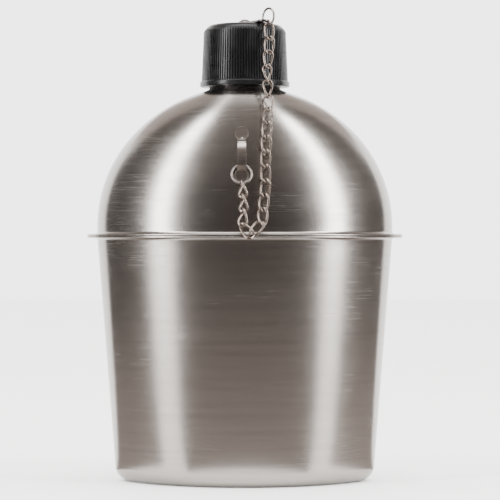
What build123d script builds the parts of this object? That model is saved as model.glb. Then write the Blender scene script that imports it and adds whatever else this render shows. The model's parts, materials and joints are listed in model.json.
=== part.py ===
from build123d import *
import os
from math import asin, cos, pi, radians, sin, sqrt

# One-quart steel canteen with a plastic screw cap on a chain. Millimetres, +Z up.
# The origin is under the neck's axis on the plane that the canteen stands on, and
# the bulging front wall faces -Y.

# ---- plan of the body at the seam, outside of the sheet ----
BODY_WIDTH = 131.0
FRONT_REACH = 30.0  # neck axis to the middle of the front wall
BACK_REACH = 30.0  # neck axis to the middle of the hollow back wall
END_RADIUS = 25.0  # round ends of the kidney
END_BACKSET = 14.0  # how far behind the neck axis the ends are centred

# ---- lower shell ----
SEAM_HEIGHT = 108.4
SHEET = 0.9
WALL_TAPER = 4.5  # degrees
BASE_CORNER = 7.0

# ---- seam flanges ----
FLANGE_WIDTH = 4.5
FLANGE_EDGE = 0.4

# ---- dome of the upper shell ----
DOME_START = 113.0
DOME_TOP = 172.4
DOME_SECTIONS = 9
OUTLINE_POINTS = 40

# ---- neck ----
COLLAR_RADIUS = 15.4
COLLAR_TOP = 176.0
COLLAR_BURIED = 0.2  # how far the dome's top runs in under the collar
NECK_WALL = 1.5
NECK_BOTTOM = 168.0
MOUTH_HEIGHT = 196.2
MOUTH_EDGE = 0.5

# ---- screw thread, right-handed ----
THREAD_PITCH = 4.0
THREAD_DEPTH = 1.1
THREAD_ROOT_WIDTH = 1.7
THREAD_CREST_WIDTH = 0.9
THREAD_BURIED = 0.25
THREAD_GAP = 0.2  # between flanks, and between crest and root
NECK_THREAD_START = 182.4
NECK_THREAD_TURNS = 2.25
CAP_THREAD_TURNS = 1.75

# ---- cap ----
CAP_TOP = 200.7
CAP_HEIGHT = 27.2
CAP_TOP_RADIUS = 17.4  # roots of the ribs, under the rounded top
CAP_SKIRT_RADIUS = 18.3  # roots of the ribs, at the rim
CAP_TOP_ROUND = 4.0
CAP_ROOF = 2.3
RIM_RADIUS = 19.6
RIM_HEIGHT = 2.4
RIM_EDGE = 0.5
RIB_COUNT = 100
RIB_DEPTH = 0.6
RIB_SHARE = 0.5  # of the pitch that is groove

# ---- gasket, its plate and the rivet ----
LINER_GAP = 0.05  # between the gasket and the mouth
LINER_THICKNESS = 2.15
PLATE_RADIUS = 9.0
PLATE_THICKNESS = 0.6
RIVET_RADIUS = 1.6
RIVET_HEAD_RADIUS = 3.0
RIVET_HEAD_HEIGHT = 1.5
RIVET_TAIL_RADIUS = 2.6
RIVET_TAIL_HEIGHT = 0.7
RIVET_PLAY = 0.05

# ---- swivel tab on the cap ----
TAB_BEARING = -61.0  # degrees from +X
TAB_THICKNESS = 0.9
TAB_LIFT = 0.08
TAB_HUB_RADIUS = 4.0
TAB_WIDTH = 4.4
TAB_EYE_REACH = 16.6
TAB_EYE_RADIUS = 2.7
TAB_HOLE_RADIUS = 1.3

# ---- rings ----
CAP_RING_RADIUS = 3.6  # to the middle of the wire
CAP_RING_WIRE = 1.0
CAP_RING_BEARING = -50.0
CAP_RING_HEIGHT = 202.7
BRACKET_RING_RADIUS = 4.3
BRACKET_RING_WIRE = 0.95
BRACKET_RING_HEIGHT = 134.6

# ---- chain ----
LINK_WIRE = 1.05
LINK_WIDTH = 4.9
LINK_PITCH = 6.4
LINK_GAP = 0.2  # between the wires of two links that hang in each other
# The first links settle round from the cap ring's bearing; then on edge and flat by turns.
FIRST_TURNS = [-45, 20]
# Degrees from straight down towards -X, and outwards from the body, link by link.
RUN_LEANS = [-3.3, 5, 4.7, -2.8, 0, -2.9, 4, 4.4, 1.7, 2.8, -1.8, 5.4, 7, 1]
LOOP_LEANS = [43.3, 140.2, 184.1, 178, 174.9]
RUN_SLOPES = [12, 12, 4, 0, 9, 25, 25, 19, 14, 12, 9, 9, 19, 23]
LOOP_SLOPES = [8, -3, -18.5, -20.1, -20.1]

# ---- strap that holds the chain's ring on the dome ----
STRAP_X = -1.3
STRAP_THICKNESS = 0.6
PAD_RADIUS = 3.0
TOP_PAD_HEIGHT = 152.1
LOW_PAD_HEIGHT = 133.9
BRIDGE_WIDTH = 3.5
BRIDGE_TOP = 148.6
BRIDGE_BOTTOM = 136.1
BRIDGE_RISE = 2.0  # clear space behind the bridge
TOE_HEIGHT = 0.65  # stretch at the bridge's foot that is set back, clear of the chain
TOE_RISE = 1.4
FOOT_WALL = 1.0  # from the bridge's bottom up to the space behind it
RING_TOP_OFFSET = 0.85  # dome to the wire's middle behind the bridge
RING_LOW_OFFSET = 3.5  # dome to the wire's middle at the ring's lowest point

# ---- worked out from the sizes above ----
END_OFFSET = BODY_WIDTH / 2 - END_RADIUS
FRONT_SPAN = FRONT_REACH + END_BACKSET
FRONT_RADIUS = (END_OFFSET**2 + FRONT_SPAN**2 - END_RADIUS**2) / (2 * (FRONT_SPAN - END_RADIUS))
BACK_SPAN = BACK_REACH - END_BACKSET
BACK_RADIUS = (END_OFFSET**2 + BACK_SPAN**2 - END_RADIUS**2) / (2 * (END_RADIUS - BACK_SPAN))
NECK_RADIUS = COLLAR_RADIUS - SHEET
MOUTH_RADIUS = NECK_RADIUS - NECK_WALL
CAP_BORE_RADIUS = NECK_RADIUS + THREAD_DEPTH + THREAD_GAP
CAP_BOTTOM = CAP_TOP - CAP_HEIGHT
LINER_BOTTOM = MOUTH_HEIGHT + LINER_GAP
LINER_TOP = LINER_BOTTOM + LINER_THICKNESS
TAB_BOTTOM = CAP_TOP + TAB_LIFT
TAB_TOP = TAB_BOTTOM + TAB_THICKNESS
LINK_BEND = (LINK_WIDTH - LINK_WIRE) / 2
LINK_HANG = LINK_GAP + LINK_WIRE  # between the wires' middles where two links hang
LINK_STRAIGHT = LINK_PITCH + LINK_HANG - 2 * LINK_BEND

os.makedirs("parts", exist_ok=True)


def export_piece(piece, name):
    """Labels a finished piece and writes its STEP file."""
    piece.label = name
    export_step(piece, f"parts/{name}.step")


# ---------------------------------------------------------------- body outline


def tangent_point(centre_y, reach):
    """Where an arc centred at (0, centre_y) runs into the right-hand end's arc."""
    along = END_BACKSET - centre_y
    scale = reach / sqrt(END_OFFSET**2 + along**2)
    return (END_OFFSET * scale, centre_y + along * scale)


def kidney_wire(grow):
    """The body's outline in plan, grown by a constant distance."""
    front = tangent_point(FRONT_RADIUS - FRONT_REACH, FRONT_RADIUS + grow)
    back = tangent_point(BACK_REACH + BACK_RADIUS, BACK_RADIUS - grow)
    tip = END_OFFSET + END_RADIUS + grow
    with BuildLine() as outline:
        ThreePointArc((-front[0], front[1]), (0, -FRONT_REACH - grow), front)
        ThreePointArc(front, (tip, END_BACKSET), back)
        ThreePointArc(back, (0, BACK_REACH + grow), (-back[0], back[1]))
        ThreePointArc((-back[0], back[1]), (-tip, END_BACKSET), (-front[0], front[1]))
    return outline.wire()


OUTLINE_SPOTS = [kidney_wire(0) @ (i / OUTLINE_POINTS) for i in range(OUTLINE_POINTS)]


def kidney_slab(grow, bottom, top, rounded_end):
    """A flat slab of the body's plan between two heights, with one end's edge rounded."""
    with BuildPart() as slab:
        with BuildSketch(Plane.XY.offset(bottom)):
            add(kidney_wire(grow))
            make_face()
        extrude(amount=top - bottom)
        fillet(slab.faces().sort_by(Axis.Z)[rounded_end].edges(), FLANGE_EDGE)
    return slab.part


# ---------------------------------------------------------------- lower shell


def cup_solid(grow, floor, corner):
    """The tapered, round-cornered form of the lower shell, filled in."""
    with BuildPart() as cup:
        with BuildSketch(Plane.XY.offset(SEAM_HEIGHT)):
            add(kidney_wire(grow))
            make_face()
        extrude(amount=floor - SEAM_HEIGHT, taper=WALL_TAPER)
        fillet(cup.faces().sort_by(Axis.Z)[0].edges(), corner)
    return cup.part


def make_lower_shell():
    """Drawn steel cup with a flat base and a seam flange."""
    outside = cup_solid(0, 0, BASE_CORNER)
    inside = cup_solid(-SHEET, SHEET, BASE_CORNER - SHEET)
    flange = kidney_slab(FLANGE_WIDTH, SEAM_HEIGHT - SHEET, SEAM_HEIGHT, rounded_end=0)
    with BuildPart() as lower_shell:
        add(outside)
        add(flange)
        add(inside, mode=Mode.SUBTRACT)
    return lower_shell.part


# ---------------------------------------------------------------- upper shell


def dome_reach(reach, height, grow):
    """How far the dome stands from the neck axis at a height, over one outline point."""
    run_in = (COLLAR_RADIUS - COLLAR_BURIED) / reach
    rise = (DOME_TOP - DOME_START) / sqrt(1 - run_in**2)
    climb = max(0, height - DOME_START) / (rise + grow)
    return (reach + grow) * sqrt(1 - climb**2)


def dome_face(height, grow):
    """The dome's level at a height: the kidney drawn in towards the neck's circle."""
    spots = []
    for spot in OUTLINE_SPOTS:
        reach = sqrt(spot.X**2 + spot.Y**2)
        share = dome_reach(reach, height, grow) / reach
        spots.append((spot.X * share, spot.Y * share))
    with BuildSketch(Plane.XY.offset(height)) as level:
        with BuildLine():
            Spline(spots, periodic=True)
        make_face()
    return level.sketch


def dome_solid(grow):
    """The dome and the upright wall under it, filled in, grown by a distance."""
    top = DOME_TOP + grow
    steps = [sin(radians(90 * i / (DOME_SECTIONS - 1))) for i in range(DOME_SECTIONS)]
    levels = [dome_face(DOME_START + (top - DOME_START) * step, grow) for step in steps]
    with BuildPart() as dome:
        add(levels)
        loft()
        extrude(to_extrude=levels[0].faces()[0], amount=SEAM_HEIGHT - DOME_START)
    return dome.part


def make_upper_shell():
    """Drawn steel dome with a seam flange and a collar for the neck."""
    outside = dome_solid(0)
    inside = dome_solid(-SHEET)
    flange = kidney_slab(FLANGE_WIDTH, SEAM_HEIGHT, SEAM_HEIGHT + SHEET, rounded_end=-1)
    with BuildPart() as upper_shell:
        add(outside)
        add(flange)
        with BuildSketch(Plane.XY.offset(NECK_BOTTOM)):
            Circle(COLLAR_RADIUS)
        extrude(amount=COLLAR_TOP - NECK_BOTTOM)
        add(inside, mode=Mode.SUBTRACT)
        with BuildSketch(Plane.XY.offset(SEAM_HEIGHT)):
            Circle(NECK_RADIUS)
        extrude(amount=COLLAR_TOP - SEAM_HEIGHT, mode=Mode.SUBTRACT)
    return upper_shell.part


# ---------------------------------------------------------------- neck and thread


def thread_solid(radius, outwards, start, turns):
    """A helical ridge on a cylinder; outwards is 1 on the neck and -1 in the cap."""
    helix = Helix(THREAD_PITCH, THREAD_PITCH * turns, radius, center=(0, 0, start))
    root = -outwards * THREAD_BURIED
    crest = outwards * THREAD_DEPTH
    with BuildPart() as thread:
        with BuildSketch(Plane(origin=helix @ 0, x_dir=(1, 0, 0), z_dir=helix % 0)):
            with BuildLine():
                Polyline(
                    (root, -THREAD_ROOT_WIDTH / 2),
                    (crest, -THREAD_CREST_WIDTH / 2),
                    (crest, THREAD_CREST_WIDTH / 2),
                    (root, THREAD_ROOT_WIDTH / 2),
                    close=True,
                )
            make_face()
        sweep(path=helix, is_frenet=True)
    return thread.part


def make_neck():
    """Turned steel spout that the cap screws on to."""
    thread = thread_solid(NECK_RADIUS, 1, NECK_THREAD_START, NECK_THREAD_TURNS)
    with BuildPart() as neck:
        with BuildSketch(Plane.XY.offset(NECK_BOTTOM)):
            Circle(NECK_RADIUS)
            Circle(MOUTH_RADIUS, mode=Mode.SUBTRACT)
        extrude(amount=MOUTH_HEIGHT - NECK_BOTTOM)
        fillet(neck.faces().sort_by(Axis.Z)[-1].edges(), MOUTH_EDGE)
        add(thread)
    return neck.part


# ---------------------------------------------------------------- cap and its trim


def rib_groove():
    """Cutter for one groove between two ribs of the cap, leaning with the skirt."""
    low = CAP_BOTTOM + RIM_HEIGHT
    lean = (CAP_SKIRT_RADIUS - CAP_TOP_RADIUS) / (CAP_TOP - CAP_TOP_ROUND - low)
    half_width = pi * CAP_SKIRT_RADIUS / RIB_COUNT * RIB_SHARE
    with BuildPart() as groove:
        for height in (low, CAP_TOP):
            root = CAP_SKIRT_RADIUS - lean * (height - low)
            mouth = root + 2 * RIB_DEPTH
            with BuildSketch(Plane.XY.offset(height)):
                with BuildLine():
                    Polyline((root, 0), (mouth, 2 * half_width), (mouth, -2 * half_width), close=True)
                make_face()
        loft()
    return groove.part


def make_cap():
    """Ribbed plastic cap with a rim and an internal thread."""
    rib_top = CAP_TOP - CAP_TOP_ROUND
    rim_top = CAP_BOTTOM + RIM_HEIGHT
    rib_foot = CAP_SKIRT_RADIUS + RIB_DEPTH
    rib_head = CAP_TOP_RADIUS + RIB_DEPTH
    thread_drop = (THREAD_ROOT_WIDTH + THREAD_CREST_WIDTH) / 2 + THREAD_GAP
    thread_start = NECK_THREAD_START - thread_drop
    thread = thread_solid(CAP_BORE_RADIUS, -1, thread_start, CAP_THREAD_TURNS)
    groove = rib_groove()
    with BuildPart() as cap:
        with BuildSketch(Plane.XZ):
            with BuildLine():
                Polyline(
                    (0, LINER_TOP),
                    (CAP_BORE_RADIUS, LINER_TOP),
                    (CAP_BORE_RADIUS, CAP_BOTTOM),
                    (RIM_RADIUS, CAP_BOTTOM),
                    (RIM_RADIUS, rim_top),
                    (rib_foot, rim_top),
                    (rib_head, rib_top),
                )
                ThreePointArc(
                    (rib_head, rib_top),
                    (
                        rib_head - CAP_TOP_ROUND * (1 - cos(radians(45))),
                        rib_top + CAP_TOP_ROUND * sin(radians(45)),
                    ),
                    (rib_head - CAP_TOP_ROUND, CAP_TOP),
                )
                Polyline((rib_head - CAP_TOP_ROUND, CAP_TOP), (0, CAP_TOP), (0, LINER_TOP))
            make_face()
        revolve(axis=Axis.Z)
        rim_edges = cap.edges().filter_by(GeomType.CIRCLE)
        fillet(rim_edges.filter_by(lambda edge: abs(edge.radius - RIM_RADIUS) < RIM_EDGE / 9), RIM_EDGE)
        with BuildSketch(Plane.XY.offset(LINER_TOP)):
            Circle(RIVET_RADIUS)
        extrude(amount=CAP_ROOF + CAP_TOP_ROUND, mode=Mode.SUBTRACT)
        add(thread)
        with PolarLocations(0, RIB_COUNT):
            add(groove, mode=Mode.SUBTRACT)
    return cap.part


def make_cap_liner():
    """Soft disc that the mouth presses into."""
    with BuildPart() as cap_liner:
        with BuildSketch(Plane.XY.offset(LINER_BOTTOM)):
            Circle(CAP_BORE_RADIUS - 0.1)
            Circle(RIVET_RADIUS, mode=Mode.SUBTRACT)
        extrude(amount=LINER_THICKNESS)
    return cap_liner.part


def make_liner_plate():
    """Steel washer that holds the gasket against the cap's roof."""
    with BuildPart() as liner_plate:
        with BuildSketch(Plane.XY.offset(LINER_BOTTOM - PLATE_THICKNESS)):
            Circle(PLATE_RADIUS)
            Circle(RIVET_RADIUS, mode=Mode.SUBTRACT)
        extrude(amount=PLATE_THICKNESS)
    return liner_plate.part


def make_cap_rivet():
    """Rivet through the tab, the cap's roof, the gasket and its plate."""
    tail_top = LINER_BOTTOM - PLATE_THICKNESS
    head_bottom = TAB_TOP + TAB_LIFT
    head_top = head_bottom + RIVET_HEAD_HEIGHT
    head_radius = (RIVET_HEAD_RADIUS**2 + RIVET_HEAD_HEIGHT**2) / (2 * RIVET_HEAD_HEIGHT)
    half_turn = asin(RIVET_HEAD_RADIUS / head_radius) / 2
    with BuildPart() as cap_rivet:
        with BuildSketch(Plane.XZ):
            with BuildLine():
                Polyline(
                    (0, tail_top - RIVET_TAIL_HEIGHT),
                    (RIVET_TAIL_RADIUS, tail_top - RIVET_TAIL_HEIGHT),
                    (RIVET_TAIL_RADIUS, tail_top),
                    (RIVET_RADIUS, tail_top),
                    (RIVET_RADIUS, head_bottom),
                    (RIVET_HEAD_RADIUS, head_bottom),
                )
                ThreePointArc(
                    (RIVET_HEAD_RADIUS, head_bottom),
                    (head_radius * sin(half_turn), head_top - head_radius * (1 - cos(half_turn))),
                    (0, head_top),
                )
                Line((0, head_top), (0, tail_top - RIVET_TAIL_HEIGHT))
            make_face()
        revolve(axis=Axis.Z)
    return cap_rivet.part


def make_swivel_tab():
    """Flat strap that turns under the rivet's head and carries the cap's ring in its eye."""
    heading = radians(TAB_BEARING)
    bearing = Plane(origin=(0, 0, TAB_BOTTOM), x_dir=(cos(heading), sin(heading), 0))
    with BuildPart() as swivel_tab:
        with BuildSketch(bearing):
            Circle(TAB_HUB_RADIUS)
            with Locations((TAB_EYE_REACH, 0)):
                Circle(TAB_EYE_RADIUS)
            with Locations((TAB_EYE_REACH / 2, 0)):
                Rectangle(TAB_EYE_REACH, TAB_WIDTH)
            Circle(RIVET_RADIUS + RIVET_PLAY, mode=Mode.SUBTRACT)
            with Locations((TAB_EYE_REACH, 0)):
                Circle(TAB_HOLE_RADIUS, mode=Mode.SUBTRACT)
        extrude(amount=TAB_THICKNESS)
    return swivel_tab.part


# ---------------------------------------------------------------- rings


def wire_ring(centre, normal, radius, wire):
    """A closed ring of round wire."""
    with BuildPart(Plane(origin=centre, z_dir=normal)) as ring:
        Torus(radius, wire / 2)
    return ring.part


def cap_ring_centre():
    """Middle of the ring in the tab's eye: its wire runs through the middle of the eye."""
    level = TAB_BOTTOM + TAB_THICKNESS / 2
    run = sqrt(CAP_RING_RADIUS**2 - (CAP_RING_HEIGHT - level) ** 2)
    eye, ring = radians(TAB_BEARING), radians(CAP_RING_BEARING)
    across = TAB_EYE_REACH * cos(eye) + run * cos(ring)
    along = TAB_EYE_REACH * sin(eye) + run * sin(ring)
    return Vector(across, along, CAP_RING_HEIGHT)


def make_cap_ring():
    """Jump ring that stands in the tab's eye."""
    facing = radians(CAP_RING_BEARING + 90)
    return wire_ring(cap_ring_centre(), (cos(facing), sin(facing), 0), CAP_RING_RADIUS, CAP_RING_WIRE)


def front_wall(height):
    """How far in front of the neck axis the dome's front stands at a height."""
    return dome_reach(FRONT_REACH, height, 0)


def bracket_ring_ends():
    """Middles of the bracket ring's wire at its top and at its lowest point."""
    top_height = BRACKET_RING_HEIGHT + BRACKET_RING_RADIUS
    low_height = BRACKET_RING_HEIGHT - BRACKET_RING_RADIUS
    top = Vector(STRAP_X, -front_wall(top_height) - RING_TOP_OFFSET, top_height)
    low = Vector(STRAP_X, -front_wall(low_height) - RING_LOW_OFFSET, low_height)
    return top, low


def make_bracket_ring():
    """Jump ring that hangs behind the strap's bridge."""
    top, low = bracket_ring_ends()
    upward = (top - low).normalized()
    normal = Vector(1, 0, 0).cross(upward)
    return wire_ring((top + low) / 2, normal, BRACKET_RING_RADIUS, BRACKET_RING_WIRE)


# ---------------------------------------------------------------- strap on the dome


def strap_piece(low, high, low_skin, high_skin, ends):
    """A layer of the strap between two skins of the dome, for a stretch of heights."""
    with BuildPart() as piece:
        with BuildSketch(Plane.XZ):
            with Locations((STRAP_X, (low + high) / 2)):
                Rectangle(BRIDGE_WIDTH, high - low)
            for height in ends:
                with Locations((STRAP_X, height)):
                    Circle(PAD_RADIUS)
        extrude(amount=2 * FRONT_REACH)
        add(high_skin, mode=Mode.INTERSECT)
        add(low_skin, mode=Mode.SUBTRACT)
    return piece.part


def make_chain_bracket():
    """Strap with two welded pads and a raised bridge between them."""
    wall = dome_solid(0)
    weld = dome_solid(STRAP_THICKNESS)
    toe = dome_solid(TOE_RISE)
    under = dome_solid(BRIDGE_RISE)
    over = dome_solid(BRIDGE_RISE + STRAP_THICKNESS)
    top_step = BRIDGE_TOP - STRAP_THICKNESS
    toe_top = BRIDGE_BOTTOM + TOE_HEIGHT
    foot_top = BRIDGE_BOTTOM + FOOT_WALL
    layers = [
        strap_piece(top_step, TOP_PAD_HEIGHT, wall, weld, [TOP_PAD_HEIGHT]),
        strap_piece(LOW_PAD_HEIGHT, foot_top, wall, weld, [LOW_PAD_HEIGHT]),
        strap_piece(toe_top, BRIDGE_TOP, under, over, []),
        strap_piece(top_step, BRIDGE_TOP, wall, over, []),
        strap_piece(toe_top, foot_top, wall, over, []),
        strap_piece(BRIDGE_BOTTOM, toe_top, wall, toe, []),
    ]
    with BuildPart() as chain_bracket:
        add(layers)
    return chain_bracket.part


# ---------------------------------------------------------------- chain


def link_direction(lean, slope):
    """Unit vector along a link, from the end it hangs by."""
    lean, slope = radians(lean), radians(slope)
    return Vector(-sin(lean) * cos(slope), -sin(slope), -cos(lean) * cos(slope))


def chain_start():
    """Middle of the first link's upper wire, inside the cap ring's lowest point."""
    lowest = cap_ring_centre() - Vector(0, 0, CAP_RING_RADIUS)
    return lowest + Vector(0, 0, LINK_GAP + (CAP_RING_WIRE + LINK_WIRE) / 2)


def chain_points():
    """Where the links pivot: the middles of both end wires of every link that is on edge."""
    points = [chain_start()]
    leans, slopes = RUN_LEANS + LOOP_LEANS, RUN_SLOPES + LOOP_SLOPES
    for number, (lean, slope) in enumerate(zip(leans, slopes), start=1):
        on_edge = number % 2 == 1
        reach = LINK_PITCH + LINK_HANG if on_edge else LINK_PITCH - LINK_HANG
        points.append(points[-1] + link_direction(lean, slope) * reach)
    return points


def chain_link(middle, along, turn):
    """An oval link of round wire, turned about its own length from facing the front."""
    across = Vector(1, 0, 0) - along * along.X
    if across.length < 0.9:
        across = Vector(0, 0, 1) - along * along.Z
    across = across.normalized().rotate(Axis((0, 0, 0), tuple(along)), turn)
    frame = Plane(origin=middle, x_dir=along, z_dir=across.cross(along))
    half = LINK_STRAIGHT / 2
    with BuildPart() as link:
        with BuildSketch(Plane(origin=frame.from_local_coords((half, LINK_BEND, 0)), z_dir=along)):
            Circle(LINK_WIRE / 2)
        with BuildLine(frame):
            Line((half, LINK_BEND), (-half, LINK_BEND))
            ThreePointArc((-half, LINK_BEND), (-half - LINK_BEND, 0), (-half, -LINK_BEND))
            Line((-half, -LINK_BEND), (half, -LINK_BEND))
            ThreePointArc((half, -LINK_BEND), (half + LINK_BEND, 0), (half, LINK_BEND))
        sweep()
    return link.part


def make_chain():
    """The links, which lie flat and on edge by turns."""
    points = chain_points()
    for number, (start, end) in enumerate(zip(points, points[1:]), start=1):
        turn = 90 if number % 2 else 0
        if number <= len(FIRST_TURNS):
            turn = FIRST_TURNS[number - 1]
        link = chain_link((start + end) / 2, (end - start).normalized(), turn)
        export_piece(link, f"chain_link_{number:02d}")


export_piece(make_lower_shell(), "lower_shell")
export_piece(make_upper_shell(), "upper_shell")
export_piece(make_neck(), "neck")
export_piece(make_cap(), "cap")
export_piece(make_cap_liner(), "cap_liner")
export_piece(make_liner_plate(), "liner_plate")
export_piece(make_cap_rivet(), "cap_rivet")
export_piece(make_swivel_tab(), "swivel_tab")
export_piece(make_cap_ring(), "cap_ring")
export_piece(make_chain_bracket(), "chain_bracket")
export_piece(make_bracket_ring(), "bracket_ring")
make_chain()
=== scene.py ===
"""One-quart satin steel canteen with a ribbed screw cap, a twisted-link chain and its strap.

Lengths in the classes are millimetres; meshes are written in metres.
"""

import json
import logging
import math
from dataclasses import dataclass, field
from enum import Enum

import bmesh
import bpy
from mathutils import Matrix, Vector

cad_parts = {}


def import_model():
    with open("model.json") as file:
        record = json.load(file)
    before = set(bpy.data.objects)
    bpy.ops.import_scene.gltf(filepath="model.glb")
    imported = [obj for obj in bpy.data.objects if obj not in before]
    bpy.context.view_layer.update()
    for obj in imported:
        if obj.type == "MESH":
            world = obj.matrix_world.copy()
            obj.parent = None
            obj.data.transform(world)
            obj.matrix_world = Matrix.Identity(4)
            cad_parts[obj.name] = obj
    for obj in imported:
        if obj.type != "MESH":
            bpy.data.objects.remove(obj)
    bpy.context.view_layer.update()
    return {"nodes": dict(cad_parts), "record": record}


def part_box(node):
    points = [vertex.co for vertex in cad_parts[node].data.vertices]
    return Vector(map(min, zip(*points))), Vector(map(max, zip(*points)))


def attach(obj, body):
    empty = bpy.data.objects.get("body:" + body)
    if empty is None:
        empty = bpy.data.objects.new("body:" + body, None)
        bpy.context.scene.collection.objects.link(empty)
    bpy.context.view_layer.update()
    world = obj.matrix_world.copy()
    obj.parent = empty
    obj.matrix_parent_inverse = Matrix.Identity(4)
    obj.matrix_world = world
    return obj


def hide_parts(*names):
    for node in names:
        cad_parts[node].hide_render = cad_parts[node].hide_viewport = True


LOG = logging.getLogger("canteen")
MM = 0.001

Point = tuple[float, float, float]


def linear(hex_colour: str) -> tuple[float, float, float, float]:
    """Turns an sRGB hex colour into linear RGBA.

    Args:
        hex_colour: Six hex digits, with or without a leading #.

    Returns:
        Linear red, green, blue and alpha.
    """
    digits = hex_colour.lstrip("#")
    channels = [int(digits[i : i + 2], 16) / 255 for i in (0, 2, 4)]
    low, high = 0.04045, 12.92
    red, green, blue = [c / high if c <= low else ((c + 0.055) / 1.055) ** 2.4 for c in channels]
    return (red, green, blue, 1.0)


def add_node(
    tree: bpy.types.NodeTree,
    kind: str,
    links: dict[str | int, bpy.types.NodeSocket] | None = None,
    values: dict[str | int, object] | None = None,
    **settings: object,
) -> bpy.types.Node:
    """Adds a node with its settings, socket values and incoming links.

    Args:
        tree: The tree that the node goes in.
        kind: The node's type name.
        links: Input socket name or number to the socket that feeds it.
        values: Input socket name or number to its constant value.
        settings: Properties of the node itself.

    Returns:
        The new node.
    """
    node = tree.nodes.new(kind)
    for name, value in settings.items():
        setattr(node, name, value)
    for name, value in (values or {}).items():
        node.inputs[name].default_value = value
    for name, socket in (links or {}).items():
        tree.links.new(socket, node.inputs[name])
    return node


# ------------------------------------------------------------------ finishes


class Slot(Enum):
    """The record's finishes, one of which is given for each piece."""

    SATIN = "satin_steel"
    TRIM = "steel_trim"
    CHAIN = "chain_steel"
    CAP = "cap_plastic"


@dataclass(frozen=True)
class Finish:
    """What all finishes share: a node tree, the place on the piece, and the shader's last links."""

    name: str

    def start(self) -> tuple[bpy.types.Material, bpy.types.Node, bpy.types.NodeSocket]:
        """Starts the material.

        Returns:
            The material, its shader, and the place on the piece in metres.
        """
        material = bpy.data.materials.new(self.name)
        material.use_nodes = True
        place = add_node(material.node_tree, "ShaderNodeTexCoord").outputs["Object"]
        return material, material.node_tree.nodes["Principled BSDF"], place

    @staticmethod
    def feed(
        shader: bpy.types.Node, colour: bpy.types.Node, rough: bpy.types.Node, relief: bpy.types.Node
    ) -> None:
        """Links what the pattern makes to the shader.

        Args:
            shader: The material's shader.
            colour: The node that mixes the colour.
            rough: The node that gives the roughness.
            relief: The node that gives the bump.
        """
        links = shader.id_data.links
        links.new(colour.outputs[2], shader.inputs["Base Color"])
        links.new(rough.outputs[0], shader.inputs["Roughness"])
        links.new(relief.outputs["Normal"], shader.inputs["Normal"])


@dataclass(frozen=True)
class SatinSteel(Finish):
    """Drawn stainless sheet rubbed with a fine abrasive belt: broad soft highlights, level hairlines."""

    colour: str = "9C9792"
    dark_colour: str = "847E7A"
    roughness: float = 0.22
    hairline_mm: float = 0.22  # drawn about three times coarser than 180-grit lines, so that they show
    hairline_length_mm: float = 26.0
    depth_mm: float = 0.016
    scratches: float = 0.03

    def material(self) -> bpy.types.Material:
        """Builds the node tree.

        Returns:
            The finished material.
        """
        material, shader, place = self.start()
        tree = material.node_tree
        shader.inputs["Metallic"].default_value = 1.0
        across, along = 1 / (self.hairline_mm * MM), 1 / (self.hairline_length_mm * MM)
        lines = add_node(tree, "ShaderNodeMapping", {"Vector": place}, {"Scale": (along, along, across)})
        hair = add_node(
            tree,
            "ShaderNodeTexNoise",
            {"Vector": lines.outputs["Vector"]},
            {"Scale": 1.0, "Detail": 3.0, "Roughness": 0.62},
        )
        wide = add_node(
            tree, "ShaderNodeMapping", {"Vector": place}, {"Scale": (along / 2, along / 2, across / 9)}
        )
        bands = add_node(
            tree,
            "ShaderNodeTexNoise",
            {"Vector": wide.outputs["Vector"]},
            {"Scale": 1.0, "Detail": 2.0, "Roughness": 0.5},
        )
        smear = add_node(
            tree,
            "ShaderNodeTexNoise",
            {"Vector": place},
            {"Scale": 28.0, "Detail": 3.0, "Roughness": 0.6, "Distortion": 0.6},
        )
        tone = add_node(
            tree,
            "ShaderNodeMapRange",
            {"Value": bands.outputs["Fac"]},
            {"From Min": 0.3, "From Max": 0.7, "To Min": 0.0, "To Max": 0.6},
        )
        mix_tone = add_node(
            tree,
            "ShaderNodeMath",
            {0: tone.outputs["Result"], 1: hair.outputs["Fac"]},
            operation="MULTIPLY",
        )
        colour = add_node(
            tree,
            "ShaderNodeMix",
            {0: mix_tone.outputs[0]},
            {6: linear(self.colour), 7: linear(self.dark_colour)},
            data_type="RGBA",
        )
        rough = add_node(
            tree,
            "ShaderNodeMapRange",
            {"Value": hair.outputs["Fac"]},
            {
                "From Min": 0.25,
                "From Max": 0.75,
                "To Min": self.roughness - 0.045,
                "To Max": self.roughness + 0.055,
            },
        )
        rough_smear = add_node(
            tree,
            "ShaderNodeMapRange",
            {"Value": smear.outputs["Fac"]},
            {"From Min": 0.3, "From Max": 0.7, "To Min": -0.02, "To Max": 0.03},
        )
        rough_sum = add_node(
            tree,
            "ShaderNodeMath",
            {0: rough.outputs["Result"], 1: rough_smear.outputs["Result"]},
            operation="ADD",
        )
        # A few long handling scratches, thin ridges of a stretched wave of noise.
        stray_place = add_node(
            tree,
            "ShaderNodeMapping",
            {"Vector": place},
            {"Rotation": (0.0, 0.35, 0.2), "Scale": (9.0, 9.0, 240.0)},
        )
        stray = add_node(
            tree,
            "ShaderNodeTexNoise",
            {"Vector": stray_place.outputs["Vector"]},
            {"Scale": 1.0, "Detail": 1.0},
        )
        stray_cut = add_node(
            tree,
            "ShaderNodeMapRange",
            {"Value": stray.outputs["Fac"]},
            {"From Min": 0.735, "From Max": 0.75, "To Min": 0.0, "To Max": self.scratches},
        )
        height = add_node(
            tree,
            "ShaderNodeMath",
            {0: hair.outputs["Fac"], 1: stray_cut.outputs["Result"]},
            operation="SUBTRACT",
        )
        bump = add_node(
            tree,
            "ShaderNodeBump",
            {"Height": height.outputs[0]},
            {"Strength": 0.5, "Distance": self.depth_mm * MM},
        )
        self.feed(shader, colour, rough_sum, bump)
        return material


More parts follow.
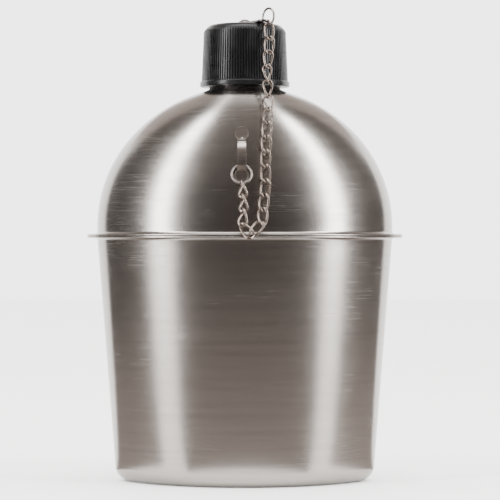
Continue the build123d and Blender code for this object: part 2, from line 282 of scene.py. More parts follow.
@dataclass(frozen=True)
class BrightWire(Finish):
    """Nickel-plated steel tumbled bright: sharp warm highlights, with duller, darker patches scattered at
    random.
    """

    colour: str = "8F837B"
    dull_colour: str = "4E433D"
    roughness: float = 0.14
    patch_mm: float = 1.6  # dull patches, a little larger than the wire
    dull_share: float = 0.55

    def material(self) -> bpy.types.Material:
        """Builds the node tree.

        Returns:
            The finished material.
        """
        material, shader, place = self.start()
        tree = material.node_tree
        shader.inputs["Metallic"].default_value = 1.0
        patch = add_node(
            tree,
            "ShaderNodeTexNoise",
            {"Vector": place},
            {"Scale": 1 / (self.patch_mm * MM), "Detail": 4.0, "Roughness": 0.6},
        )
        share = add_node(
            tree,
            "ShaderNodeMapRange",
            {"Value": patch.outputs["Fac"]},
            {"From Min": 0.42, "From Max": 0.68, "To Min": 0.0, "To Max": self.dull_share},
        )
        colour = add_node(
            tree,
            "ShaderNodeMix",
            {0: share.outputs["Result"]},
            {6: linear(self.colour), 7: linear(self.dull_colour)},
            data_type="RGBA",
        )
        rough = add_node(
            tree,
            "ShaderNodeMapRange",
            {"Value": patch.outputs["Fac"]},
            {"From Min": 0.3, "From Max": 0.7, "To Min": self.roughness, "To Max": self.roughness + 0.2},
        )
        pits = add_node(tree, "ShaderNodeTexNoise", {"Vector": place}, {"Scale": 4200.0, "Detail": 2.0})
        bump = add_node(
            tree,
            "ShaderNodeBump",
            {"Height": pits.outputs["Fac"]},
            {"Strength": 0.25, "Distance": 0.00008},
        )
        self.feed(shader, colour, rough, bump)
        return material


@dataclass(frozen=True)
class MouldedPlastic(Finish):
    """Injection-moulded plastic: an even colour, a slight gloss, a fine mould texture and dusty wear."""

    colour: str = "0B0B0C"
    worn_colour: str = "1A191B"
    roughness: float = 0.27
    ior: float = 1.49
    specular: float = 0.3
    texture_mm: float = 0.35
    texture_depth_mm: float = 0.012

    def material(self) -> bpy.types.Material:
        """Builds the node tree.

        Returns:
            The finished material.
        """
        material, shader, place = self.start()
        tree = material.node_tree
        shader.inputs["IOR"].default_value = self.ior
        shader.inputs["Specular IOR Level"].default_value = self.specular
        mould = add_node(
            tree,
            "ShaderNodeTexNoise",
            {"Vector": place},
            {"Scale": 1 / (self.texture_mm * MM), "Detail": 2.0},
        )
        wear = add_node(
            tree,
            "ShaderNodeTexNoise",
            {"Vector": place},
            {"Scale": 160.0, "Detail": 5.0, "Roughness": 0.65},
        )
        worn = add_node(
            tree,
            "ShaderNodeMapRange",
            {"Value": wear.outputs["Fac"]},
            {"From Min": 0.5, "From Max": 0.8, "To Min": 0.0, "To Max": 0.8},
        )
        colour = add_node(
            tree,
            "ShaderNodeMix",
            {0: worn.outputs["Result"]},
            {6: linear(self.colour), 7: linear(self.worn_colour)},
            data_type="RGBA",
        )
        rough = add_node(
            tree,
            "ShaderNodeMapRange",
            {"Value": wear.outputs["Fac"]},
            {
                "From Min": 0.3,
                "From Max": 0.75,
                "To Min": self.roughness - 0.05,
                "To Max": self.roughness + 0.14,
            },
        )
        bump = add_node(
            tree,
            "ShaderNodeBump",
            {"Height": mould.outputs["Fac"]},
            {"Strength": 0.3, "Distance": self.texture_depth_mm * MM},
        )
        self.feed(shader, colour, rough, bump)
        return material


# ------------------------------------------------------------------ mesh helpers


def mesh_object(
    name: str,
    points: list[Point],
    faces: list[tuple[int, ...]],
    material: bpy.types.Material,
    edges: list[tuple[int, int]] | None = None,
) -> bpy.types.Object:
    """Makes a smooth-shaded object at the origin from points in millimetres.

    Args:
        name: The object's name.
        points: Corner points in millimetres.
        faces: Corner numbers of each face.
        material: The piece's finish.
        edges: Loose edges, for a piece that a modifier grows along a path.

    Returns:
        The new object, linked to the scene.
    """
    mesh = bpy.data.meshes.new(name)
    mesh.from_pydata([(x * MM, y * MM, z * MM) for x, y, z in points], edges or [], faces)
    mesh.materials.append(material)
    mesh.validate()
    mesh.shade_smooth()
    piece = bpy.data.objects.new(name, mesh)
    bpy.context.scene.collection.objects.link(piece)
    return piece


def face_outwards(piece: bpy.types.Object) -> None:
    """Merges doubles and turns every face of a closed piece outwards."""
    work = bmesh.new()
    work.from_mesh(piece.data)
    bmesh.ops.remove_doubles(work, verts=work.verts, dist=1e-7)
    bmesh.ops.recalc_face_normals(work, faces=work.faces)
    work.to_mesh(piece.data)
    work.free()


def mark_creases(piece: bpy.types.Object, degrees: float) -> None:
    """Makes the edges sharper than an angle shade as edges.

    Args:
        piece: The piece to mark.
        degrees: The smallest angle between faces that shows as an edge.
    """
    work = bmesh.new()
    work.from_mesh(piece.data)
    for edge in work.edges:
        if len(edge.link_faces) == 2:
            edge.smooth = edge.calc_face_angle(0.0) < math.radians(degrees)
    work.to_mesh(piece.data)
    work.free()


def skin_rings(rings: list[list[Point]], closed_section: bool) -> tuple[list[Point], list[tuple[int, ...]]]:
    """Joins closed rings of equally many points with faces.

    Args:
        rings: The rings, each a closed loop of points.
        closed_section: Whether the last ring joins on to the first.

    Returns:
        The points and the faces.
    """
    count = len(rings[0])
    points = [point for ring in rings for point in ring]
    faces = []
    pairs = len(rings) if closed_section else len(rings) - 1
    for i in range(pairs):
        low, high = i * count, ((i + 1) % len(rings)) * count
        for j in range(count):
            k = (j + 1) % count
            faces.append((low + j, low + k, high + k, high + j))
    return points, faces


def close_ends(points: list[Point], faces: list[tuple[int, ...]], count: int) -> None:
    """Closes the first and the last ring of a skin with a face each.

    Args:
        points: The skin's points, ring after ring.
        faces: Its faces, which the two ends are added to.
        count: How many points a ring has.
    """
    faces.append(tuple(reversed(range(count))))
    faces.append(tuple(range(len(points) - count, len(points))))


def arc(
    centre: tuple[float, float], radius: float, start: float, end: float, steps: int
) -> list[tuple[float, float]]:
    """Points of a circular arc in a section, both ends included.

    Args:
        centre: The arc's centre.
        radius: Its radius.
        start: First angle in degrees.
        end: Last angle in degrees.
        steps: How many chords it has.

    Returns:
        The arc's points.
    """
    angles = [math.radians(start + (end - start) * i / steps) for i in range(steps + 1)]
    return [(centre[0] + radius * math.cos(a), centre[1] + radius * math.sin(a)) for a in angles]


def revolve(section: list[tuple[float, float]], segments: int) -> tuple[list[Point], list[tuple[int, ...]]]:
    """Turns a section of radius and height about the Z axis.

    Args:
        section: Radius and height pairs.
        segments: How many facets go round.

    Returns:
        The points and the faces.
    """
    rings = []
    for radius, height in section:
        turns = [2 * math.pi * j / segments for j in range(segments)]
        rings.append([(radius * math.cos(a), radius * math.sin(a), height) for a in turns])
    return skin_rings(rings, False)


# ------------------------------------------------------------------ geometry nodes


class Growth:
    """Geometry Nodes trees for what repeats or follows a path, and how they are made a plain mesh."""

    @staticmethod
    def tree(name: str, inputs: dict[str, tuple[str, float]]) -> bpy.types.NodeTree:
        """Starts a tree with a geometry input, a geometry output and named sizes.

        Args:
            name: The tree's name.
            inputs: Input name to its socket type and default.

        Returns:
            The new tree.
        """
        tree = bpy.data.node_groups.new(name, "GeometryNodeTree")
        tree.interface.new_socket("Geometry", in_out="INPUT", socket_type="NodeSocketGeometry")
        tree.interface.new_socket("Geometry", in_out="OUTPUT", socket_type="NodeSocketGeometry")
        for label, (kind, default) in inputs.items():
            socket = tree.interface.new_socket(label, in_out="INPUT", socket_type=kind)
            if default is not None:
                socket.default_value = default
        return tree

    @staticmethod
    def wire_tree() -> bpy.types.NodeTree:
        """Round wire along the piece's own edges, closed or with capped ends.

        Returns:
            The tree.
        """
        tree = Growth.tree(
            "wire along a path",
            {
                "Wire": ("NodeSocketFloat", 0.001),
                "Sides": ("NodeSocketInt", 16),
                "Finish": ("NodeSocketMaterial", None),
            },
        )
        given = add_node(tree, "NodeGroupInput")
        radius = add_node(
            tree, "ShaderNodeMath", {0: given.outputs["Wire"]}, {1: 0.5}, operation="MULTIPLY"
        )
        path = add_node(tree, "GeometryNodeMeshToCurve", {"Mesh": given.outputs["Geometry"]})
        section = add_node(
            tree,
            "GeometryNodeCurvePrimitiveCircle",
            {"Resolution": given.outputs["Sides"], "Radius": radius.outputs[0]},
        )
        grown = add_node(
            tree,
            "GeometryNodeCurveToMesh",
            {"Curve": path.outputs["Curve"], "Profile Curve": section.outputs["Curve"]},
            {"Fill Caps": True},
        )
        smooth = add_node(tree, "GeometryNodeSetShadeSmooth", {"Geometry": grown.outputs["Mesh"]})
        real = add_node(tree, "GeometryNodeRealizeInstances", {"Geometry": smooth.outputs["Geometry"]})
        dressed = add_node(
            tree,
            "GeometryNodeSetMaterial",
            {"Geometry": real.outputs["Geometry"], "Material": given.outputs["Finish"]},
        )
        add_node(tree, "NodeGroupOutput", {"Geometry": dressed.outputs["Geometry"]})
        return tree

    @staticmethod
    def round_tree() -> bpy.types.NodeTree:
        """Copies of the piece set evenly round the Z axis.

        Returns:
            The tree.
        """
        tree = Growth.tree(
            "copies round the axis",
            {"Count": ("NodeSocketInt", 100), "Finish": ("NodeSocketMaterial", None)},
        )
        given = add_node(tree, "NodeGroupInput")
        spots = add_node(
            tree,
            "GeometryNodeMeshLine",
            {"Count": given.outputs["Count"]},
            {"Offset": (0.0, 0.0, 0.0)},
        )
        index = add_node(tree, "GeometryNodeInputIndex")
        step = add_node(
            tree,
            "ShaderNodeMath",
            {1: given.outputs["Count"]},
            {0: 2 * math.pi},
            operation="DIVIDE",
        )
        turn = add_node(
            tree,
            "ShaderNodeMath",
            {0: index.outputs["Index"], 1: step.outputs[0]},
            operation="MULTIPLY",
        )
        angles = add_node(tree, "ShaderNodeCombineXYZ", {"Z": turn.outputs[0]})
        copies = add_node(
            tree,
            "GeometryNodeInstanceOnPoints",
            {
                "Points": spots.outputs["Mesh"],
                "Instance": given.outputs["Geometry"],
                "Rotation": angles.outputs["Vector"],
            },
        )
        real = add_node(tree, "GeometryNodeRealizeInstances", {"Geometry": copies.outputs["Instances"]})
        dressed = add_node(
            tree,
            "GeometryNodeSetMaterial",
            {"Geometry": real.outputs["Geometry"], "Material": given.outputs["Finish"]},
        )
        add_node(tree, "NodeGroupOutput", {"Geometry": dressed.outputs["Geometry"]})
        return tree

    @staticmethod
    def grow(piece: bpy.types.Object, tree: bpy.types.NodeTree, sizes: dict[str, object]) -> None:
        """Runs a tree on a piece and keeps the result as the piece's plain mesh.

        Args:
            piece: The object whose mesh the tree starts from.
            tree: The tree to run.
            sizes: Input name to value.
        """
        modifier = piece.modifiers.new(tree.name, "NODES")
        modifier.node_group = tree
        for item in tree.interface.items_tree:
            if item.item_type == "SOCKET" and item.in_out == "INPUT" and item.name in sizes:
                modifier[item.identifier] = sizes[item.name]
        bpy.context.view_layer.update()
        depsgraph = bpy.context.evaluated_depsgraph_get()
        result = bpy.data.meshes.new_from_object(piece.evaluated_get(depsgraph))
        piece.modifiers.remove(modifier)
        piece.data = result


def weld_together(name: str, parts: list[bpy.types.Object]) -> bpy.types.Object:
    """Puts several objects at the origin into one object.

    Args:
        name: The joined object's name.
        parts: The objects, which are used up.

    Returns:
        The joined object.
    """
    work = bmesh.new()
    materials = []
    for part in parts:
        part_mesh = part.data
        first = len(work.faces)
        work.from_mesh(part_mesh)
        work.faces.ensure_lookup_table()
        for material in part_mesh.materials:
            if material not in materials:
                materials.append(material)
        for face in work.faces[first:]:
            face.material_index = materials.index(part_mesh.materials[face.material_index])
        bpy.data.objects.remove(part)
    mesh = bpy.data.meshes.new(name)
    work.to_mesh(mesh)
    work.free()
    for material in materials:
        mesh.materials.append(material)
    piece = bpy.data.objects.new(name, mesh)
    bpy.context.scene.collection.objects.link(piece)
    return piece


# ------------------------------------------------------------------ the body's form


@dataclass
class BodyForm:
    """The kidney that both shells are drawn to, and the dome that closes in on the neck."""

    width: float = 131.0
    front_reach: float = 30.0
    back_reach: float = 30.0
    end_radius: float = 25.0
    end_backset: float = 14.0
    dome_start: float = 113.0
    dome_top: float = 172.4
    collar_radius: float = 15.4
    collar_buried: float = 0.2
    blend: float = 22.0  # higher is a tighter fillet between dome and collar
    facets: int = 256
    outline: list[tuple[Vector, Vector]] = field(default_factory=list)

    def __post_init__(self) -> None:
        """Walks the outline's four arcs at an even spacing."""
        end_x = self.width / 2 - self.end_radius
        front_span = self.front_reach + self.end_backset
        self.front_radius = (end_x**2 + front_span**2 - self.end_radius**2) / (
            2 * (front_span - self.end_radius)
        )
        back_span = self.back_reach - self.end_backset
        back_radius = (end_x**2 + back_span**2 - self.end_radius**2) / (2 * (self.end_radius - back_span))
        front_centre = Vector((0, self.front_radius - self.front_reach))
        back_centre = Vector((0, self.back_reach + back_radius))
        right, left = Vector((end_x, self.end_backset)), Vector((-end_x, self.end_backset))
        front_turn = math.atan2(end_x, self.front_radius - self.front_reach - self.end_backset)
        back_turn = math.atan2(end_x, back_centre.y - self.end_backset)
        half = math.pi / 2
        spans = [
            (front_centre, self.front_radius, -half - front_turn, -half + front_turn, 1),
            (right, self.end_radius, -half + front_turn, half + back_turn, 1),
            (back_centre, back_radius, -half + back_turn, -half - back_turn, -1),
            (left, self.end_radius, half - back_turn, math.pi * 1.5 - front_turn, 1),
        ]
        lengths = [radius * abs(end - start) for _, radius, start, end, _ in spans]
        total = sum(lengths)
        for i in range(self.facets):
            along = total * i / self.facets
            for (centre, radius, start, end, side), length in zip(spans, lengths):
                if along <= length:
                    break
                along -= length
            angle = start + (end - start) * along / length
            ray = Vector((math.cos(angle), math.sin(angle)))
            self.outline.append((centre + ray * radius, ray * side))

    def grown(self, grow: float, height: float) -> list[Point]:
        """The outline moved outwards by a distance, at a height."""
        return [(p.x + n.x * grow, p.y + n.y * grow, height) for p, n in self.outline]

    def dome(self, height: float, grow: float) -> list[Point]:
        """The dome's level at a height, grown by a distance.

        Args:
            height: The level's height.
            grow: How far the skin is outside of the sheet's outer face.

        Returns:
            The level's points.
        """
        ring = []
        for spot, _ in self.outline:
            reach = spot.length
            share = self.dome_reach(reach, height, grow) / reach
            ring.append((spot.x * share, spot.y * share, height))
        return ring

    def dome_reach(self, reach: float, height: float, grow: float) -> float:
        """How far the dome stands from the neck axis over an outline point.

        Args:
            reach: The outline point's own distance from the axis.
            height: The level's height.
            grow: How far the skin is outside of the sheet's outer face.

        Returns:
            The distance from the axis.
        """
        run_in = (self.collar_radius - self.collar_buried) / reach
        rise = (self.dome_top - self.dome_start) / math.sqrt(1 - run_in**2)
        climb = max(0.0, height - self.dome_start) / (rise + grow)
        return (reach + grow) * math.sqrt(max(0.0, 1 - climb**2))

    def shoulder(self, height: float) -> list[Point]:
        """A level of the dome's outer face where it runs softly up into the collar.

        Args:
            height: The level's height.

        Returns:
            The level's points.
        """
        ring = []
        for spot, _ in self.outline:
            reach = spot.length
            dome = self.dome_reach(reach, height, 0)
            radius = self.collar_radius * (1 + (dome / self.collar_radius) ** self.blend) ** (1 / self.blend)
            ring.append((spot.x * radius / reach, spot.y * radius / reach, height))
        return ring

    def front_skin(self, across: float, height: float) -> float:
        """How far in front of the axis the dome's front stands.

        Args:
            across: Distance to the right of the axis.
            height: Height above the base.

        Returns:
            The distance, positive towards the front.
        """
        share = 1.0
        for _ in range(6):
            base_x = across / share
            base_y = self.front_reach - self.front_radius + math.sqrt(self.front_radius**2 - base_x**2)
            reach = math.hypot(base_x, base_y)
            share = self.dome_reach(reach, height, 0) / reach
        return base_y * share


@dataclass
class LowerShell:
    """Drawn cup with a tapered wall, a rounded bottom edge and half of the rolled seam lip."""

    form: BodyForm
    seam: float = 108.4
    sheet: float = 0.9
    taper: float = 4.5
    corner: float = 7.0
    flange: float = 4.5
    fillet: float = 1.1
    lip: float = 0.43

    def wall_grow(self, height: float) -> float:
        """How far the wall stands outside of the outline at a height; below zero inside it."""
        return -(self.seam - height) * math.tan(math.radians(self.taper))

    def section(self) -> list[tuple[float, float]]:
        """The sheet's closed section as grow and height pairs, outer face first.

        Returns:
            The section.
        """
        slope = math.radians(self.taper)
        edge = self.corner
        # corner arc tangent to the base and to the leaning wall
        centre_grow = self.wall_grow(edge) - edge / math.cos(slope)
        outer = [(centre_grow - 4, 0.0)]
        outer += arc((centre_grow, edge), edge, -90, -self.taper, 12)
        for i in range(1, 27):
            height = edge + (self.seam - self.sheet - self.fillet - edge) * i / 27
            outer.append((self.wall_grow(height), height))
        under = self.seam - self.sheet
        foot = self.wall_grow(under - self.fillet)
        outer += arc((foot + self.fillet, under - self.fillet), self.fillet, 180, 90, 6)
        rim = self.flange - self.lip
        outer += arc((rim, under + self.lip), self.lip, -90, 62, 8)
        top = [(self.flange - 0.62, self.seam), (1.0, self.seam), (-self.sheet - 0.1, self.seam)]
        inner = []
        for i in range(16):
            height = self.seam - 1 - (self.seam - 1 - edge) * i / 16
            inner.append((self.wall_grow(height) - self.sheet, height))
        inner += arc((centre_grow, edge), edge - self.sheet, -self.taper, -90, 8)
        inner.append((centre_grow - 4, self.sheet))
        return outer + top + inner

    def build(self, steel: bpy.types.Material) -> bpy.types.Object:
        """Builds the shell.

        Args:
            steel: The sheet's finish.

        Returns:
            The shell.
        """
        section = self.section()
        rings = [self.form.grown(grow, height) for grow, height in section]
        last_low, last_high = rings[0], rings[-1]
        for share in (0.75, 0.5, 0.25, 0.05):
            rings.insert(0, [(x * share, 6 + (y - 6) * share, z) for x, y, z in last_low])
            rings.append([(x * share, 6 + (y - 6) * share, z) for x, y, z in last_high])
        points, faces = skin_rings(rings, False)
        close_ends(points, faces, self.form.facets)
        shell = mesh_object("lower_shell_skin", points, faces, steel)
        face_outwards(shell)
        mark_creases(shell, 50)
        return shell


@dataclass
class UpperShell:
    """Drawn dome with the other half of the seam lip, and the collar that the neck stands in."""

    form: BodyForm
    seam: float = 108.4
    sheet: float = 0.9
    flange: float = 4.5
    fillet: float = 1.3
    lip: float = 0.43
    collar_top: float = 176.0
    levels: int = 44

    def build(self, steel: bpy.types.Material) -> bpy.types.Object:
        """Builds the shell.

        Args:
            steel: The sheet's finish.

        Returns:
            The shell.
        """
        form, top = self.form, self.seam + self.sheet
        rings = [form.grown(-self.sheet - 0.1, self.seam), form.grown(1.0, self.seam)]
        rings.append(form.grown(self.flange - 0.62, self.seam))
        rim = self.flange - self.lip
        rings += [form.grown(g, z) for g, z in arc((rim, top - self.lip), self.lip, -62, 90, 8)]
        foot = arc((self.fillet, top + self.fillet), self.fillet, -90, -180, 7)
        rings += [form.grown(g, z) for g, z in foot]
        for i in range(self.levels + 1):
            climb = math.sin(math.pi / 2 * i / self.levels)
            height = form.dome_start + (form.dome_top - 3.0 - form.dome_start) * climb
            rings.append(form.shoulder(height) if height > 150 else form.dome(height, 0))
        rings += self.collar_rings()
        inner_radius = form.collar_radius - self.sheet
        for height in (self.collar_top, form.dome_top):
            rings.append(self.circle(inner_radius, height))
        for i in range(self.levels // 2, -1, -1):
            climb = math.sin(math.pi / 2 * i / (self.levels // 2))
            height = form.dome_start + (form.dome_top - self.sheet - form.dome_start) * climb
            rings.append(self.at_least(form.dome(height, -self.sheet), inner_radius))
        points, faces = skin_rings(rings, True)
        shell = mesh_object("upper_shell_skin", points, faces, steel)
        face_outwards(shell)
        mark_creases(shell, 50)
        return shell

    def circle(self, radius: float, height: float) -> list[Point]:
        """A level circle whose points stand over the outline's own.

        Args:
            radius: The circle's radius.
            height: Its height.

        Returns:
            The circle's points.
        """
        ring = []
        for spot, _ in self.form.outline:
            ray = spot.normalized()
            ring.append((ray.x * radius, ray.y * radius, height))
        return ring

    def at_least(self, ring: list[Point], radius: float) -> list[Point]:
        """A ring whose points are pushed out to a smallest radius.

        Args:
            ring: The ring's points.
            radius: The smallest radius.

        Returns:
            The pushed points.
        """
        out = []
        for x, y, z in ring:
            share = max(1.0, radius / math.hypot(x, y))
            out.append((x * share, y * share, z))
        return out

    def collar_rings(self) -> list[list[Point]]:
        """The collar's soft foot, its wall and its rounded lip.

        Returns:
            The rings, from the dome up.
        """
        form = self.form
        first, last = form.dome_top - 2.8, self.collar_top - 0.6
        rings = [form.shoulder(first + (last - first) * i / 16) for i in range(17)]
        edge = 0.35
        lip = arc((form.collar_radius - edge, self.collar_top - edge), edge, 0, 90, 5)
        rings += [self.circle(radius, height) for radius, height in lip]
        return rings


@dataclass
class ChainStrap:
    """Strap on the dome: two spot-welded pads with a raised bridge that holds the chain's ring."""

    form: BodyForm
    across: float = -1.3
    thickness: float = 0.6
    pad_radius: float = 3.0
    top_pad: float = 152.1
    low_pad: float = 133.9
    width: float = 3.9
    sunk: float = 0.12  # how far the strip's ends go into the pads
    bridge_top: float = 148.6
    bridge_bottom: float = 136.1
    rise: float = 2.0
    edge: float = 0.16
    pit: float = 1.7  # from the pad's middle down to the weld's dimple

    def lift(self, height: float) -> float:
        """How far the strap's underside stands off the dome at a height."""
        share = (height - self.bridge_bottom) / (self.bridge_top - self.bridge_bottom)
        return self.rise * max(0.0, 1 - abs(2 * share - 1) ** 3.0)

    def spot(self, x: float, height: float, off: float) -> Point:
        """A point off the dome's skin, in front of the strap's own place."""
        return (self.across + x, -self.form.front_skin(self.across + x, height) - off, height)

    def strap(self, steel: bpy.types.Material) -> bpy.types.Object:
        """The bent strip between the pads, with softened edges.

        Args:
            steel: The strip's finish.

        Returns:
            The strip.
        """
        half, edge, thick = self.width / 2, self.edge, self.thickness
        outline = [(-half, 0.0), (-half, thick - edge), (-half + edge, thick), (-half * 0.5, thick + 0.1)]
        outline += [(-x, z) for x, z in reversed(outline)]
        rings = []
        steps, first, last = 72, self.bridge_bottom - 0.8, self.bridge_top + 0.9
        for i in range(steps + 1):
            height = first + (last - first) * i / steps
            rings.append([self.spot(x, height, self.lift(height) + off - self.sunk) for x, off in outline])
        points, faces = skin_rings(rings, False)
        close_ends(points, faces, len(outline))
        return mesh_object("strap", points, faces, steel)

    def pad(self, centre: float, steel: bpy.types.Material) -> bpy.types.Object:
        """One round pad with a fine raised edge and the dimple of its spot weld.

        Args:
            centre: Height of the pad's middle.
            steel: The pad's finish.

        Returns:
            The pad.
        """
        radii = [0.3, 0.6, 0.9, 1.2, 1.5, 1.8, 2.1, 2.4, 2.6, 2.75, 2.88, self.pad_radius, self.pad_radius]
        rise = [0.5] * 8 + [0.52, 0.6, 0.62, 0.45, 0.0]
        segments = 64
        points = [self.spot(0.0, centre, rise[0])]
        for radius, off in zip(radii, rise):
            for j in range(segments):
                a = 2 * math.pi * j / segments
                x, z = radius * math.cos(a), radius * math.sin(a)
                dimple = 0.32 * math.exp(-((x**2 + (z + self.pit) ** 2) / 0.16)) if off else 0.0
                points.append(self.spot(x, centre + z, off - dimple))
        faces = [(0, 1 + (j + 1) % segments, 1 + j) for j in range(segments)]
        for i in range(len(radii) - 1):
            low, high = 1 + i * segments, 1 + (i + 1) * segments
            for j in range(segments):
                k = (j + 1) % segments
                faces.append((low + j, low + k, high + k, high + j))
        faces.append(tuple(range(len(points) - segments, len(points))))
        return mesh_object("pad", points, faces, steel)

    def build(self, steel: bpy.types.Material) -> bpy.types.Object:
        """Builds the strap with its pads as one welded piece.

        Args:
            steel: The strip's finish.

        Returns:
            The strap.
        """
        parts = [self.strap(steel), self.pad(self.top_pad, steel), self.pad(self.low_pad, steel)]
        for part in parts:
            face_outwards(part)
        strap = weld_together("chain_strap", parts)
        mark_creases(strap, 30)
        return strap


# ------------------------------------------------------------------ cap


@dataclass
class Cap:
    """Moulded screw cap: a hundred pointed ribs, a plain rim, a hollow with its thread."""

    top: float = 200.7
    height: float = 27.2
    bore: float = 15.9
    roof_bottom: float = 198.4
    top_radius: float = 17.4
    skirt_radius: float = 18.3
    top_round: float = 4.0
    rim_radius: float = 19.6
    rim_height: float = 2.4
    rim_edge: float = 0.6
    rib_count: int = 100
    facets: int = 200
    rib_depth: float = 0.62
    rib_section: tuple[tuple[float, float], ...] = (
        (-1.0, 0.0), (-0.86, 0.8), (-0.66, 0.97), (0.0, 1.0), (0.66, 0.97), (0.86, 0.8), (1.0, 0.0),
    )
    rivet_radius: float = 1.6
    thread_pitch: float = 4.0
    thread_start: float = 180.9
    thread_turns: float = 1.75
    thread_depth: float = 1.1

    def root(self, height: float) -> float:
        """The radius of the valleys between the ribs at a height.

        Args:
            height: The height.

        Returns:
            The radius.
        """
        low = self.top - self.height + self.rim_height
        high = self.top - self.top_round
        share = (height - low) / (high - low)
        return self.skirt_radius + (self.top_radius - self.skirt_radius) * share

    def body(self, plastic: bpy.types.Material) -> bpy.types.Object:
        """The cap's body of revolution.

        Args:
            plastic: The moulding's finish.

        Returns:
            The body.
        """
        low, rim_top = self.top - self.height, self.top - self.height + self.rim_height
        high = self.top - self.top_round
        edge = self.rim_edge
        section = [(self.rivet_radius, self.roof_bottom), (self.bore - 0.4, self.roof_bottom)]
        section += [(self.bore, self.roof_bottom - 0.4), (self.bore, low + 0.4), (self.bore + 0.4, low)]
        section += arc((self.rim_radius - edge, low + edge), edge, -90, 0, 5)
        section += arc((self.rim_radius - edge, rim_top - edge), edge, 0, 90, 5)
        section += [(self.root(rim_top) + 0.25, rim_top), (self.root(rim_top), rim_top + 0.2)]
        section += [(self.root(rim_top + 5), rim_top + 5), (self.root(rim_top + 12), rim_top + 12)]
        shoulder = self.root(high)
        section += arc((shoulder - self.top_round + 0.3, high), self.top_round, 0, 90, 12)
        section += [(9.0, self.top), (self.rivet_radius, self.top)]
        count, last = self.facets, (len(section) - 1) * self.facets
        points, faces = revolve(section, count)
        for j in range(count):
            k = (j + 1) % count
            faces.append((j, k, last + k, last + j))
        return mesh_object("cap_body", points, faces, plastic)

    def rib(self, plastic: bpy.types.Material) -> bpy.types.Object:
        """One upright rib on the +X side, flat on top with soft edges, with a pointed upper end.

        Args:
            plastic: The moulding's finish.

        Returns:
            The rib.
        """
        pitch = 2 * math.pi * (self.skirt_radius + self.rib_depth) / self.rib_count
        half = pitch * 0.36
        low = self.top - self.height + self.rim_height - 0.1
        high = self.top - self.top_round
        rings = []
        for height, width, proud in (
            (low, 1.0, 1.0),
            (low + 1.0, 1.0, 1.0),
            (low + 10.0, 1.0, 1.0),
            (high - 1.2, 1.0, 1.0),
            (high + 0.6, 0.95, 0.86),
            (high + 1.5, 0.72, 0.5),
            (high + 2.2, 0.4, 0.1),
            (high + 2.6, 0.12, -0.3),
        ):
            inside = max(0.0, height - high)
            root = self.root(min(height, high)) + 0.3 * min(1.0, inside)
            root -= self.top_round - math.sqrt(max(0.0, self.top_round**2 - inside**2))
            ring = []
            for across, up in self.rib_section:
                out = root - 0.2 + (self.rib_depth + 0.2) * proud * up
                ring.append((out, half * width * across, height))
            ring.append((root - 0.5, 0.0, height))
            rings.append(ring)
        points, faces = skin_rings(rings, False)
        close_ends(points, faces, len(rings[0]))
        rib = mesh_object("cap_rib", points, faces, plastic)
        face_outwards(rib)
        return rib

    def thread(self, plastic: bpy.types.Material) -> bpy.types.Object:
        """The helical ridge inside the skirt, thinned away at both ends.

        Args:
            plastic: The moulding's finish.

        Returns:
            The ridge.
        """
        steps = 150
        rings = []
        for i in range(steps + 1):
            share = i / steps
            run_out = min(1.0, share * 12, (1 - share) * 12)
            angle = 2 * math.pi * self.thread_turns * share
            height = self.thread_start + self.thread_pitch * self.thread_turns * share
            crest = self.bore - self.thread_depth * run_out
            root = self.bore + 0.2
            ring = []
            for radius, rise in ((root, -0.85), (crest, -0.45), (crest, 0.45), (root, 0.85)):
                ring.append((radius * math.cos(angle), radius * math.sin(angle), height + rise))
            rings.append(ring)
        points, faces = skin_rings(rings, False)
        faces += [(3, 2, 1, 0), tuple(range(len(points) - 4, len(points)))]
        return mesh_object("cap_thread", points, faces, plastic)

    def build(self, plastic: bpy.types.Material, round_tree: bpy.types.NodeTree) -> bpy.types.Object:
        """Builds the cap as one moulded piece.

        Args:
            plastic: The moulding's finish.
            round_tree: The tree that sets copies round the axis.

        Returns:
            The cap.
        """
        body, thread = self.body(plastic), self.thread(plastic)
        face_outwards(body)
        face_outwards(thread)
        ribs = self.rib(plastic)
        Growth.grow(ribs, round_tree, {"Count": self.rib_count, "Finish": plastic})
        cap = weld_together("cap_moulding", [body, ribs, thread])
        cap.data.shade_smooth()
        mark_creases(cap, 40)
        return cap


